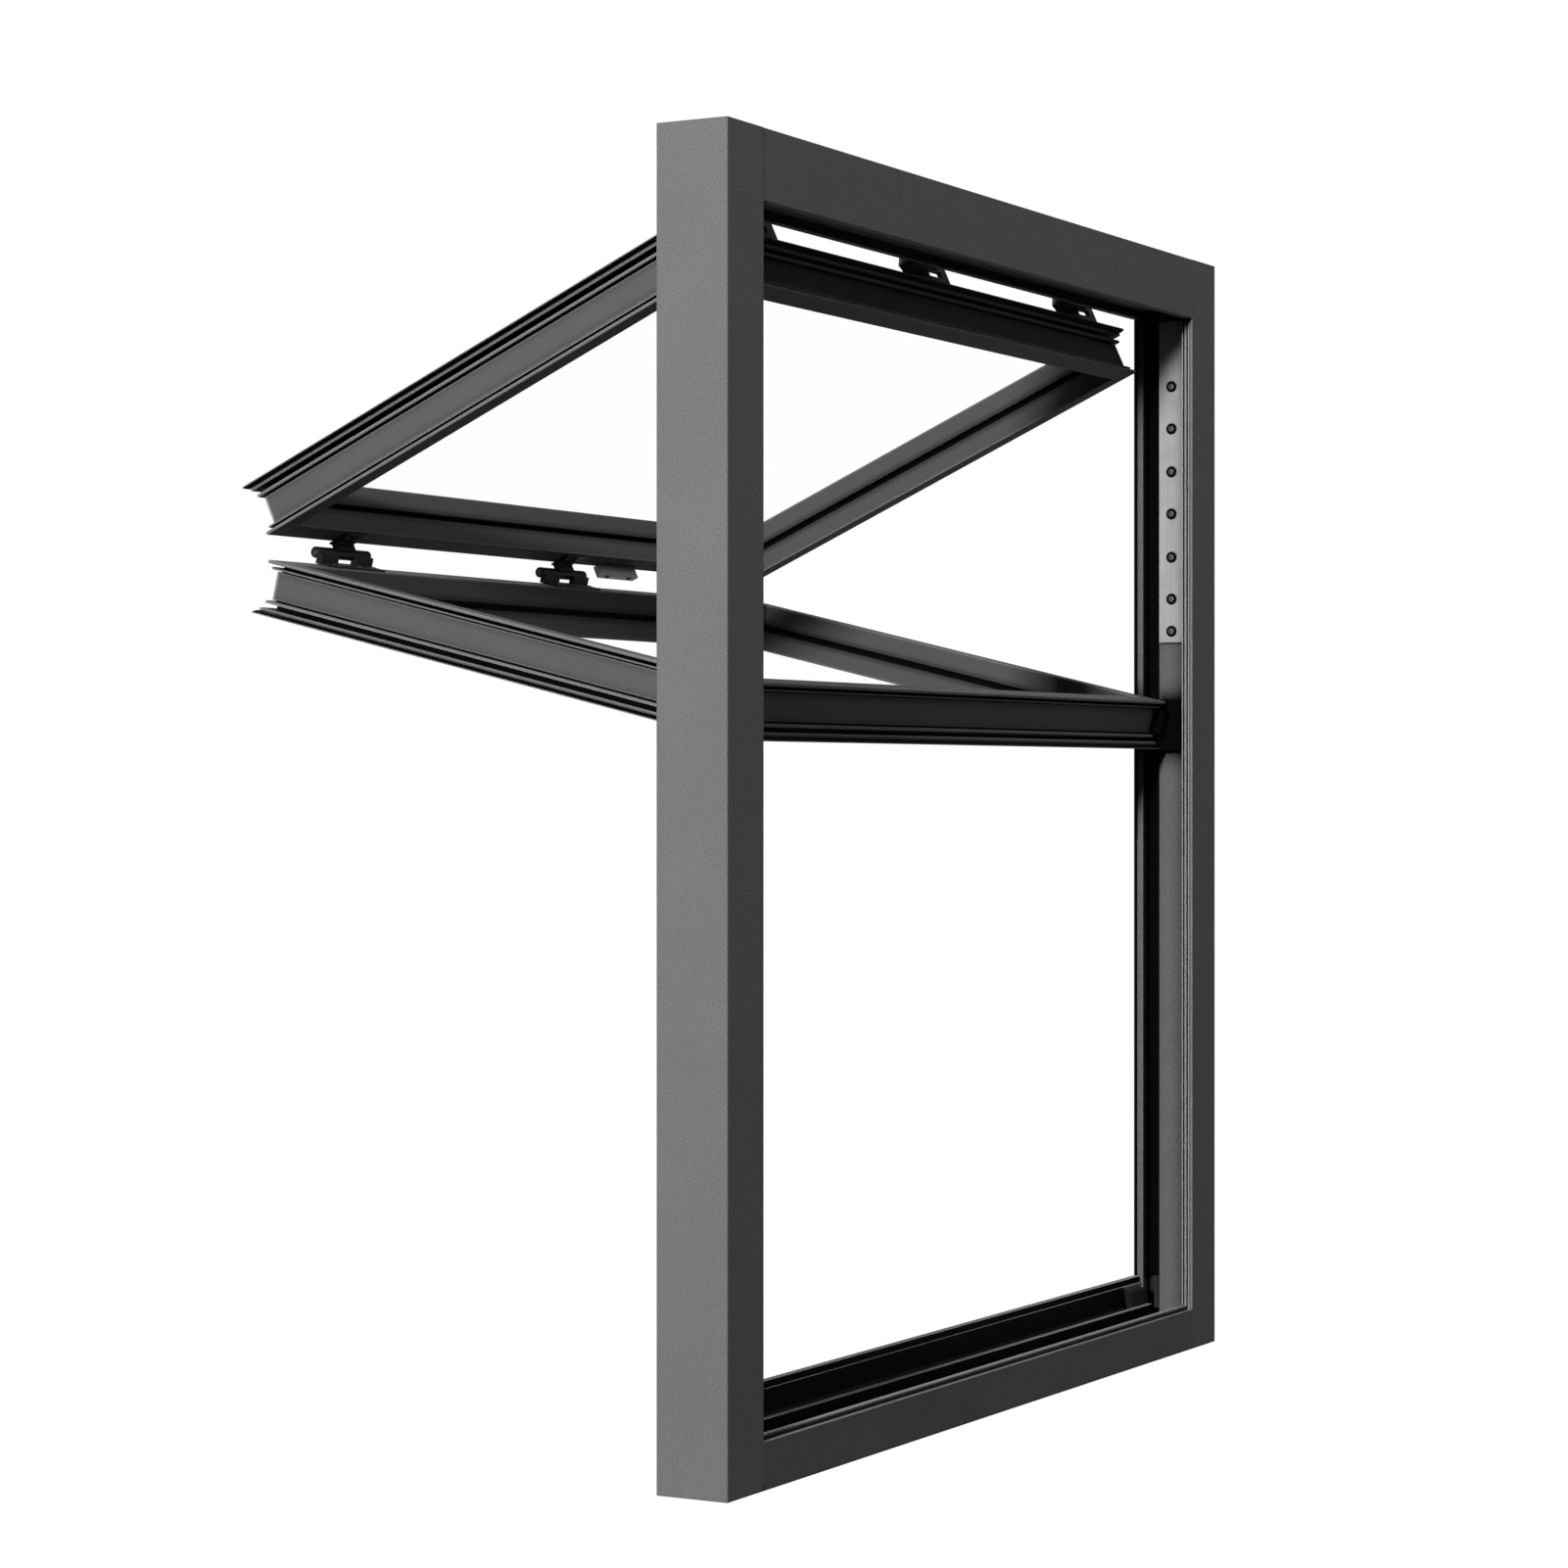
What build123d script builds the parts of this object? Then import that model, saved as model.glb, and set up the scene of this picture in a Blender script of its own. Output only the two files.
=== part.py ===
from build123d import *
import os
import math

# Fold-up serving window: an aluminium frame with an upper and a lower sash, half open.
# X runs along the window, +Y is the side the sashes fold out to, Z is up from the sill base.

# Outer frame
frame_width = 1358.0
frame_height = 1500.0
frame_depth = 90.0
jamb_face = 80.0
head_face = 81.0
sill_face = 54.0
edge_break = 0.8

# Jamb section, depths from the inner face and positions from the inside face of the frame
jamb_lip_depth = 15.5
jamb_step_end = 19.0
jamb_step_drop = 8.0
channel_end = 58.0
channel_drop = 20.0
outer_lip_width = 14.0
slot_drop = 28.0
outer_lip_drop = 5.0
groove_width = 2.5
groove_drop = 4.0
groove_first = 6.5
groove_second = 11.5
sill_groove_drop = 1.5

# Head section
head_lip_depth = 10.0
head_outer_lip_width = 11.0
head_pocket_rise = 14.0
head_outer_rise = 3.5

# Sill section
sill_ledge_depth = 6.0
sill_lip_depth = 15.0
sill_lip_rise = 5.5
sill_channel_end = 61.0
sill_channel_floor = 20.0
sill_ridge_end = 67.0
sill_ridge_top = 58.0
sill_gutter_floor = 40.0
upstand_width = 12.0
upstand_shoulder = 87.0
upstand_top = 95.0
upstand_step = 3.0

# Weather seals round the outside of the opening
seal_thickness = 3.0
seal_bottom = 60.0
seal_edge = 0.8
upper_seal_thickness = 1.5
ridge_seal_thickness = 2.0
jamb_seal_setback = 3.0
jamb_seal_base = 6.0
bead_thickness = 1.0
bead_width = 4.5

# Sashes
sash_bottom_clearance = 11.4
sash_thickness = 66.0
sash_side_clearance = 4.0
sash_face = 33.0
web_drop = 15.0
web_edge_groove = 4.0
inner_rib_drop = 5.5
inner_rib_end = 4.0
inner_groove_drop = 20.0
inner_groove_end = 7.5
inner_second_drop = 9.5
inner_second_end = 10.5
inner_web_start = 12.5
outer_tip = 1.2
outer_rib_drop = 6.0
outer_rib_start = 4.5
outer_rib_end = 8.5
outer_groove_drop = 20.0
outer_groove_start = 9.5
outer_groove_end = 13.5
outer_second_drop = 9.5
outer_second_start = 14.5
outer_second_end = 18.0
outer_web_start = 20.0
glazing_slot_width = 9.0
glazing_slot_depth = 10.0
glass_thickness = 6.0
glass_edge_play = 3.0
gasket_height = 8.0
meeting_gap = 4.0

# How the sashes hang
upper_slope = 24.3
head_axis_out = 8.0
head_axis_rise = 16.0
closed_setback = 13.0
head_axis_lead = 13.6
mid_axis_offset = 13.0
guide_pin_from_end = 6.0

# Hinges
hinge_length = 124.0
mid_hinge_length = 106.0
head_hinge_inset = 148.0
mid_hinge_inset = 158.0
mid_hinge_middle = 63.0
barrel_radius = 7.0
pin_radius = 3.0
pin_clearance = 0.05
pin_head_radius = 4.5
pin_head_length = 1.5
knuckle_clearance = 0.5
leaf_thickness = 4.0
mid_leaf_thickness = 2.5
mid_leaf_margin = 4.0
leaf_edge = 1.0
stub_width = 8.0
head_leaf_rise = 40.0
head_knuckle_share = 0.508
mid_knuckle_share = 0.33
leaf_reach = 30.0
foot_start = 0.5
foot_width = 6.0
foot_point = 12.0
foot_slot_start = 10.0
foot_slot_length = 34.0
foot_slot_low = 2.0
foot_slot_height = 9.0
arm_thickness = 10.0
catch_start = 146.0
catch_length = 92.0
catch_height = 16.0
catch_depth = 10.0
catch_edge = 2.0

# Guides and strips
strip_width = 37.0
strip_thickness = 3.0
strip_bottom = 974.0
strip_inset = 1.0
guide_line = 44.0
carriage_clearance = 0.25
carriage_height = 70.0
carriage_back = 63.5
carriage_front = 79.0
guide_pin_radius = 5.0
pivot_plate_thickness = 12.0
pivot_plate_length = 60.0
pivot_plate_clearance = 0.5
end_block_length = 62.0
end_block_rise = 40.0
end_block_undercut = 18.0

half_width = frame_width / 2
slot_end = frame_depth - outer_lip_width
head_pocket_end = frame_depth - head_outer_lip_width
upstand_start = frame_depth - upstand_width
inside_face = -frame_depth / 2
outside_face = frame_depth / 2
opening_half = half_width - jamb_face
head_underside = frame_height - head_face
sash_width = frame_width - 2 * jamb_face - 2 * sash_side_clearance
sash_half = sash_width / 2
bore_radius = pin_radius + pin_clearance
head_middle_knuckle = hinge_length * head_knuckle_share
mid_middle_knuckle = mid_hinge_length * mid_knuckle_share


def from_inside(distance):
    return inside_face + distance


# Hinge line of the upper sash, set on the outside lower edge of the head
head_axis_y = outside_face + head_axis_out
head_axis_z = head_underside + head_axis_rise
head_axis_stand = head_axis_out + closed_setback

# Directions of the upper sash: along it from the head, and out of its weather face
upper_rad = math.radians(upper_slope)
upper_along = Vector(0, math.cos(upper_rad), -math.sin(upper_rad))
upper_out = Vector(0, math.sin(upper_rad), math.cos(upper_rad))
head_axis = Vector(0, head_axis_y, head_axis_z)

# Closed, the two sashes fill the height from the head hinge line down to just over the sill lip
closed_top = head_axis_z - head_axis_lead
closed_bottom = sill_face + sash_bottom_clearance
sash_height = (closed_top - closed_bottom - meeting_gap) / 2
upper_origin = head_axis + upper_along * head_axis_lead - upper_out * (head_axis_stand + sash_thickness)

# Hinge line between the sashes
mid_axis = upper_origin + upper_along * (sash_height + meeting_gap / 2) - upper_out * mid_axis_offset

# The lower sash swings until its guide pin sits on the guide line in the jamb channels
guide_y = from_inside(guide_line)
closed_inner_face = outside_face - closed_setback - sash_thickness
guide_pin_depth = guide_y - closed_inner_face
pin_run = sash_height + meeting_gap / 2 - guide_pin_from_end
pin_stand = mid_axis_offset + guide_pin_depth
pin_reach = math.hypot(pin_run, pin_stand)
lower_rad = math.acos((mid_axis.Y - guide_y) / pin_reach) - math.atan2(pin_stand, pin_run)
lower_along = Vector(0, -math.cos(lower_rad), -math.sin(lower_rad))
lower_out = Vector(0, math.sin(lower_rad), -math.cos(lower_rad))
lower_origin = mid_axis + lower_along * (meeting_gap / 2) + lower_out * mid_axis_offset
guide_pin = lower_origin + lower_along * (sash_height - guide_pin_from_end) + lower_out * guide_pin_depth

upper_plane = Plane(origin=upper_origin, x_dir=(1, 0, 0), z_dir=upper_out)
lower_plane = Plane(origin=lower_origin, x_dir=(1, 0, 0), z_dir=lower_out)


def save(builder, name):
    builder.part.label = name
    export_step(builder.part, "parts/" + name + ".step")


def jamb(side):
    inner = opening_half
    floor = opening_half + channel_drop
    groove = opening_half + groove_drop
    points = [
        (half_width - edge_break, inside_face),
        (inner + edge_break, inside_face),
        (inner, inside_face + edge_break),
        (inner, from_inside(groove_first)),
        (groove, from_inside(groove_first)),
        (groove, from_inside(groove_first + groove_width)),
        (inner, from_inside(groove_first + groove_width)),
        (inner, from_inside(groove_second)),
        (groove, from_inside(groove_second)),
        (groove, from_inside(groove_second + groove_width)),
        (inner, from_inside(groove_second + groove_width)),
        (inner, from_inside(jamb_lip_depth)),
        (inner + jamb_step_drop, from_inside(jamb_lip_depth)),
        (inner + jamb_step_drop, from_inside(jamb_step_end)),
        (floor, from_inside(jamb_step_end)),
        (floor, from_inside(channel_end)),
        (inner + slot_drop, from_inside(channel_end)),
        (inner + slot_drop, from_inside(slot_end)),
        (inner + outer_lip_drop, from_inside(slot_end)),
        (inner + outer_lip_drop, outside_face - edge_break),
        (inner + outer_lip_drop + edge_break, outside_face),
        (half_width - edge_break, outside_face),
        (half_width, outside_face - edge_break),
        (half_width, inside_face + edge_break),
    ]
    with BuildPart() as builder:
        with BuildSketch(Plane.XY):
            with BuildLine():
                Polyline(*[(side * x, y) for x, y in points], close=True)
            make_face()
        extrude(amount=frame_height)
    return builder


def cross_bar(points):
    # A bar between the jambs, its section drawn in depth and height
    with BuildPart() as builder:
        with BuildSketch(Plane(origin=(-opening_half, 0, 0), x_dir=(0, 1, 0), z_dir=(1, 0, 0))):
            with BuildLine():
                Polyline(*points, close=True)
            make_face()
        extrude(amount=2 * opening_half)
    return builder


def sash_member(plane, start, inward, length):
    # One mitred length of the sash extrusion; inward points from its outer edge to the pane
    along = inward.cross(plane.z_dir)
    middle = sash_thickness / 2
    slot_low = middle - glazing_slot_width / 2
    slot_high = middle + glazing_slot_width / 2
    outer = sash_thickness
    points = [
        (inner_rib_drop + edge_break, 0),
        (inner_rib_drop, edge_break),
        (inner_rib_drop, inner_rib_end - edge_break),
        (inner_rib_drop + edge_break, inner_rib_end),
        (inner_groove_drop, inner_rib_end),
        (inner_groove_drop, inner_groove_end),
        (inner_second_drop + edge_break, inner_groove_end),
        (inner_second_drop, inner_groove_end + edge_break),
        (inner_second_drop, inner_second_end - edge_break),
        (inner_second_drop + edge_break, inner_second_end),
        (web_drop + web_edge_groove, inner_second_end),
        (web_drop + web_edge_groove, inner_web_start - edge_break),
        (web_drop, inner_web_start),
        (web_drop, outer - outer_web_start),
        (web_drop + web_edge_groove, outer - outer_web_start + edge_break),
        (web_drop + web_edge_groove, outer - outer_second_end),
        (outer_second_drop + edge_break, outer - outer_second_end),
        (outer_second_drop, outer - outer_second_end + edge_break),
        (outer_second_drop, outer - outer_second_start),
        (outer_groove_drop, outer - outer_groove_end),
        (outer_groove_drop, outer - outer_groove_start),
        (outer_rib_drop + edge_break, outer - outer_rib_end),
        (outer_rib_drop, outer - outer_rib_end + edge_break),
        (outer_rib_drop, outer - outer_rib_start),
        (0, outer - outer_tip),
        (0, outer),
        (sash_face - edge_break, sash_thickness),
        (sash_face, sash_thickness - edge_break),
        (sash_face, slot_high),
        (sash_face - glazing_slot_depth, slot_high),
        (sash_face - glazing_slot_depth, slot_low),
        (sash_face, slot_low),
        (sash_face, edge_break),
        (sash_face - edge_break, 0),
    ]
    with BuildPart() as builder:
        with BuildSketch(Plane(origin=start, x_dir=inward, z_dir=along)):
            with BuildLine():
                Polyline(*points, close=True)
            make_face()
        extrude(amount=length)
        split(bisect_by=Plane(origin=start, z_dir=along - inward), keep=Keep.TOP)
        split(bisect_by=Plane(origin=start + along * length, z_dir=-along - inward), keep=Keep.TOP)
    return builder


def sash_point(plane, across, down, depth):
    return plane.origin + plane.x_dir * across + plane.y_dir * down + plane.z_dir * depth


def sash(plane, prefix):
    across = plane.x_dir
    down = plane.y_dir
    top_left = sash_point(plane, -sash_half, 0, 0)
    top_right = sash_point(plane, sash_half, 0, 0)
    bottom_left = sash_point(plane, -sash_half, sash_height, 0)
    bottom_right = sash_point(plane, sash_half, sash_height, 0)
    save(sash_member(plane, top_left, down, sash_width), prefix + "_top_rail")
    save(sash_member(plane, bottom_right, -down, sash_width), prefix + "_bottom_rail")
    save(sash_member(plane, bottom_left, across, sash_height), prefix + "_left_stile")
    save(sash_member(plane, top_right, -across, sash_height), prefix + "_right_stile")

    glass_margin = 2 * (sash_face - glazing_slot_depth + glass_edge_play)
    glass_low = (sash_thickness - glass_thickness) / 2
    centre = sash_point(plane, 0, sash_height / 2, glass_low)
    with BuildPart() as pane:
        with BuildSketch(Plane(origin=centre, x_dir=across, z_dir=plane.z_dir)):
            Rectangle(sash_width - glass_margin, sash_height - glass_margin)
        extrude(amount=glass_thickness)
    save(pane, prefix + "_glass")

    # A channel gasket wraps the edge of the pane
    gasket_margin = 2 * (sash_face - gasket_height)
    base = sash_point(plane, 0, sash_height / 2, (sash_thickness - glazing_slot_width) / 2)
    with BuildPart() as gasket:
        with BuildSketch(Plane(origin=base, x_dir=across, z_dir=plane.z_dir)):
            Rectangle(sash_width - gasket_margin, sash_height - gasket_margin)
            Rectangle(sash_width - 2 * sash_face, sash_height - 2 * sash_face, mode=Mode.SUBTRACT)
        extrude(amount=glazing_slot_width)
        with BuildSketch(Plane(origin=centre, x_dir=across, z_dir=plane.z_dir)):
            Rectangle(sash_width - glass_margin, sash_height - glass_margin)
        extrude(amount=glass_thickness, mode=Mode.SUBTRACT)
    save(gasket, prefix + "_glazing_gasket")


def section_plane(x, plane):
    # A plane across the window at x, drawn along the sash and out of its weather face
    return Plane(origin=sash_point(plane, x, 0, 0), x_dir=plane.y_dir, z_dir=(1, 0, 0))


def knuckle(x_start, length, axis, radius, mode=Mode.ADD):
    with BuildSketch(Plane(origin=(x_start, axis.Y, axis.Z), x_dir=(0, 1, 0), z_dir=(1, 0, 0))) as outline:
        Circle(radius)
    extrude(outline.sketch, amount=length, mode=mode)


def block(x_start, length, plane, low, high, mode=Mode.ADD):
    # A block from x_start, spanning two corners given along the sash and out of its weather face
    with BuildSketch(section_plane(x_start, plane)) as outline:
        with BuildLine():
            Polyline(low, (high[0], low[1]), high, (low[0], high[1]), close=True)
        make_face()
    extrude(outline.sketch, amount=length, mode=mode)


def frame_block(x_start, length, low, high):
    with BuildSketch(Plane(origin=(x_start, 0, 0), x_dir=(0, 1, 0), z_dir=(1, 0, 0))) as outline:
        with BuildLine():
            Polyline(low, (high[0], low[1]), high, (low[0], high[1]), close=True)
        make_face()
    extrude(outline.sketch, amount=length)


def hinge_pin(x, axis, length):
    half = length / 2
    knuckle(x - half - pin_head_length, pin_head_length, axis, pin_head_radius)
    knuckle(x - half, length, axis, pin_radius)
    knuckle(x + half, pin_head_length, axis, pin_head_radius)


def head_frame_leaf(x):
    half = hinge_length / 2
    middle = head_middle_knuckle / 2 + knuckle_clearance
    leaf_low = head_axis_z + barrel_radius + leaf_edge
    with BuildPart() as builder:
        frame_block(
            x - half,
            hinge_length,
            (outside_face, leaf_low),
            (outside_face + leaf_thickness, leaf_low + head_leaf_rise),
        )
        for start in (x - half, x + middle):
            knuckle(start, half - middle, head_axis, barrel_radius)
            frame_block(
                start,
                half - middle,
                (outside_face, head_axis_z),
                (outside_face + leaf_thickness, leaf_low),
            )
        knuckle(x - half, hinge_length, head_axis, bore_radius, Mode.SUBTRACT)
    return builder


def head_sash_leaf(x):
    half = hinge_length / 2
    middle = head_middle_knuckle / 2
    face = sash_thickness
    stand = face + head_axis_stand
    with BuildPart() as builder:
        block(x - half, hinge_length, upper_plane, (foot_start, face), (leaf_reach, face + leaf_thickness))
        block(
            x - half + foot_point,
            hinge_length - foot_point,
            upper_plane,
            (foot_start, face),
            (foot_width, stand + arm_thickness / 2),
        )
        point_plane = Plane(
            origin=sash_point(upper_plane, x - half, foot_start, face),
            x_dir=(1, 0, 0),
            z_dir=upper_plane.y_dir,
        )
        with BuildSketch(point_plane):
            with BuildLine():
                Polyline(
                    (foot_point, 0),
                    (0, -(head_axis_stand + arm_thickness / 2) / 2),
                    (foot_point, -(head_axis_stand + arm_thickness / 2)),
                    close=True,
                )
            make_face()
        extrude(amount=foot_width - foot_start)
        block(
            x + foot_slot_start,
            foot_slot_length,
            upper_plane,
            (0, face + leaf_thickness + foot_slot_low),
            (foot_width + 1, face + leaf_thickness + foot_slot_low + foot_slot_height),
            Mode.SUBTRACT,
        )
        block(
            x - middle,
            2 * middle,
            upper_plane,
            (-head_axis_lead, stand - arm_thickness / 2),
            (foot_width, stand + arm_thickness / 2),
        )
        knuckle(x - middle, 2 * middle, head_axis, barrel_radius)
        knuckle(x - middle, 2 * middle, head_axis, bore_radius, Mode.SUBTRACT)
    return builder


def mid_upper_leaf(x):
    middle = mid_middle_knuckle / 2
    end = sash_height
    with BuildPart() as builder:
        block(
            x - middle - mid_leaf_margin,
            2 * (middle + mid_leaf_margin),
            upper_plane,
            (end - leaf_reach, -mid_leaf_thickness),
            (end - leaf_edge, 0),
        )
        block(
            x - middle,
            2 * middle,
            upper_plane,
            (end - leaf_edge - stub_width, -mid_axis_offset),
            (end - leaf_edge, -mid_leaf_thickness),
        )
        knuckle(x - middle, 2 * middle, mid_axis, barrel_radius)
        knuckle(x - middle, 2 * middle, mid_axis, bore_radius, Mode.SUBTRACT)
    return builder


def mid_lower_leaf(x):
    half = mid_hinge_length / 2
    middle = mid_middle_knuckle / 2 + knuckle_clearance
    with BuildPart() as builder:
        block(x - half, mid_hinge_length, lower_plane, (leaf_edge, -mid_leaf_thickness), (leaf_reach, 0))
        for start in (x - half, x + middle):
            block(
                start,
                half - middle,
                lower_plane,
                (leaf_edge, -mid_axis_offset),
                (leaf_edge + stub_width, -mid_leaf_thickness),
            )
            knuckle(start, half - middle, mid_axis, barrel_radius)
        knuckle(x - half, mid_hinge_length, mid_axis, bore_radius, Mode.SUBTRACT)
    return builder


def channel_strip(side):
    outer = opening_half + channel_drop
    x_start = outer - strip_thickness if side > 0 else -outer
    low = from_inside(jamb_step_end + strip_inset)
    with BuildPart() as builder:
        frame_block(x_start, strip_thickness, (low, strip_bottom), (low + strip_width, head_underside))
    return builder


def guide_carriage(side):
    back = opening_half + jamb_face - carriage_back
    front = opening_half + jamb_face - carriage_front
    near = from_inside(jamb_step_end + carriage_clearance)
    far = from_inside(channel_end - carriage_clearance)
    x_start = front if side > 0 else -back
    with BuildPart() as builder:
        frame_block(
            x_start,
            back - front,
            (near, guide_pin.Z - carriage_height / 2),
            (far, guide_pin.Z + carriage_height / 2),
        )
        knuckle(x_start, back - front, guide_pin, guide_pin_radius + pin_clearance, Mode.SUBTRACT)
    return builder


def guide_pivot(side):
    web = sash_half - web_drop
    plate_outer = web + pivot_plate_thickness
    pin_end = opening_half + jamb_face - carriage_back
    end = sash_height
    plate_low = inner_web_start + pivot_plate_clearance
    plate_high = sash_thickness - outer_web_start - pivot_plate_clearance
    plate_start = web if side > 0 else -plate_outer
    pin_start = plate_outer if side > 0 else -pin_end
    with BuildPart() as builder:
        block(
            plate_start,
            pivot_plate_thickness,
            lower_plane,
            (end - pivot_plate_length, plate_low),
            (end, plate_high),
        )
        knuckle(pin_start, pin_end - plate_outer, guide_pin, guide_pin_radius)
    return builder


def sill_end_block(side):
    # A sealing block in the corner of the sill gutter and the jamb, its free end undercut
    low = from_inside(sill_ridge_end)
    with BuildPart() as builder:
        with BuildSketch(Plane(origin=(0, low, 0), x_dir=(1, 0, 0), z_dir=(0, -1, 0))):
            with BuildLine():
                Polyline(
                    (side * opening_half, sill_gutter_floor),
                    (side * opening_half, sill_gutter_floor + end_block_rise),
                    (side * (opening_half - end_block_length), sill_gutter_floor + end_block_rise),
                    (side * (opening_half - end_block_length + end_block_undercut), sill_gutter_floor),
                    close=True,
                )
            make_face()
        extrude(amount=-(upstand_start - sill_ridge_end))
    return builder


def jamb_seal(side):
    # An angle seal in the slot behind the outer lip, and a bead along the lip's outer edge
    wall = opening_half + outer_lip_drop + jamb_seal_setback
    slot_floor = opening_half + slot_drop
    lip = opening_half + outer_lip_drop
    seal_start = wall if side > 0 else -slot_floor
    base_start = slot_floor - jamb_seal_base if side > 0 else -slot_floor
    bead_start = lip - bead_thickness if side > 0 else -lip
    with BuildPart() as builder:
        frame_block(
            seal_start,
            slot_floor - wall,
            (from_inside(slot_end - seal_thickness), upstand_top),
            (from_inside(slot_end), head_underside),
        )
        frame_block(
            base_start,
            jamb_seal_base,
            (from_inside(channel_end), upstand_top),
            (from_inside(slot_end), head_underside),
        )
        frame_block(
            bead_start,
            bead_thickness,
            (outside_face - edge_break - bead_width, upstand_top),
            (outside_face - edge_break, head_underside),
        )
    return builder


os.makedirs("parts", exist_ok=True)

save(jamb(-1), "left_jamb")
save(jamb(1), "right_jamb")

head_outer_edge = head_underside + head_outer_rise
pocket_top = head_underside + head_pocket_rise
head = cross_bar([
    (inside_face + edge_break, head_underside),
    (from_inside(head_lip_depth), head_underside),
    (from_inside(head_lip_depth), pocket_top),
    (from_inside(head_pocket_end), pocket_top),
    (from_inside(head_pocket_end), head_outer_edge),
    (outside_face - edge_break, head_outer_edge),
    (outside_face, head_outer_edge + edge_break),
    (outside_face, frame_height - edge_break),
    (outside_face - edge_break, frame_height),
    (inside_face + edge_break, frame_height),
    (inside_face, frame_height - edge_break),
    (inside_face, head_underside + edge_break),
])
save(head, "head")

sill = cross_bar([
    (inside_face, 0),
    (outside_face, 0),
    (outside_face, upstand_top - edge_break),
    (outside_face - edge_break, upstand_top),
    (from_inside(upstand_start + upstand_step), upstand_top),
    (from_inside(upstand_start + upstand_step), upstand_shoulder),
    (from_inside(upstand_start), upstand_shoulder),
    (from_inside(upstand_start), sill_gutter_floor),
    (from_inside(sill_ridge_end), sill_gutter_floor),
    (from_inside(sill_ridge_end), sill_ridge_top),
    (from_inside(sill_channel_end), sill_ridge_top),
    (from_inside(sill_channel_end), sill_channel_floor),
    (from_inside(sill_lip_depth), sill_channel_floor),
    (from_inside(sill_lip_depth), sill_face + sill_lip_rise - edge_break),
    (from_inside(sill_lip_depth - edge_break), sill_face + sill_lip_rise),
    (from_inside(sill_ledge_depth + groove_width + edge_break), sill_face + sill_lip_rise),
    (from_inside(sill_ledge_depth + groove_width), sill_face + sill_lip_rise - edge_break),
    (from_inside(sill_ledge_depth + groove_width), sill_face - sill_groove_drop),
    (from_inside(sill_ledge_depth), sill_face - sill_groove_drop),
    (from_inside(sill_ledge_depth), sill_face),
    (inside_face + edge_break, sill_face),
    (inside_face, sill_face - edge_break),
])
save(sill, "sill")

with BuildPart() as sill_seal:
    frame_block(
        -opening_half + end_block_length,
        2 * (opening_half - end_block_length),
        (from_inside(upstand_start - seal_thickness), seal_bottom),
        (from_inside(upstand_start), upstand_shoulder - seal_edge),
    )
    frame_block(
        -opening_half,
        2 * opening_half,
        (from_inside(upstand_start + upstand_step - upper_seal_thickness), upstand_shoulder + seal_edge),
        (from_inside(upstand_start + upstand_step), upstand_top - seal_edge),
    )
    frame_block(
        -opening_half,
        2 * opening_half,
        (from_inside(sill_channel_end - ridge_seal_thickness), sill_gutter_floor),
        (from_inside(sill_channel_end), sill_ridge_top - seal_edge),
    )
save(sill_seal, "sill_seal")

with BuildPart() as head_seal:
    frame_block(
        -opening_half,
        2 * opening_half,
        (from_inside(head_pocket_end - seal_thickness), head_outer_edge),
        (from_inside(head_pocket_end), pocket_top),
    )
save(head_seal, "head_seal")

save(jamb_seal(-1), "left_jamb_seal")
save(jamb_seal(1), "right_jamb_seal")

save(sill_end_block(-1), "left_sill_end_block")
save(sill_end_block(1), "right_sill_end_block")
save(channel_strip(-1), "left_channel_strip")
save(channel_strip(1), "right_channel_strip")

sash(upper_plane, "upper_sash")
sash(lower_plane, "lower_sash")

head_end = sash_half - head_hinge_inset
mid_end = sash_half - mid_hinge_inset
head_stations = {"left": -head_end, "middle": 0.0, "right": head_end}
mid_stations = {"left": -mid_end, "middle": mid_hinge_middle, "right": mid_end}

for place, x in head_stations.items():
    save(head_frame_leaf(x), place + "_head_hinge_frame_leaf")
    save(head_sash_leaf(x), place + "_head_hinge_sash_leaf")

for place, x in mid_stations.items():
    save(mid_upper_leaf(x), place + "_mid_hinge_upper_leaf")
    save(mid_lower_leaf(x), place + "_mid_hinge_lower_leaf")

with BuildPart() as head_pins:
    for x in head_stations.values():
        hinge_pin(x, head_axis, hinge_length)
save(head_pins, "head_hinge_pins")

with BuildPart() as mid_pins:
    for x in mid_stations.values():
        hinge_pin(x, mid_axis, mid_hinge_length)
save(mid_pins, "mid_hinge_pins")

with BuildPart() as catch:
    block(
        catch_start,
        catch_length,
        upper_plane,
        (sash_height - catch_edge - catch_depth, -catch_height),
        (sash_height - catch_edge, 0),
    )
save(catch, "meeting_rail_catch")

save(guide_carriage(-1), "left_guide_carriage")
save(guide_carriage(1), "right_guide_carriage")
save(guide_pivot(-1), "left_guide_pivot")
save(guide_pivot(1), "right_guide_pivot")
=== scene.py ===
import math

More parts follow.
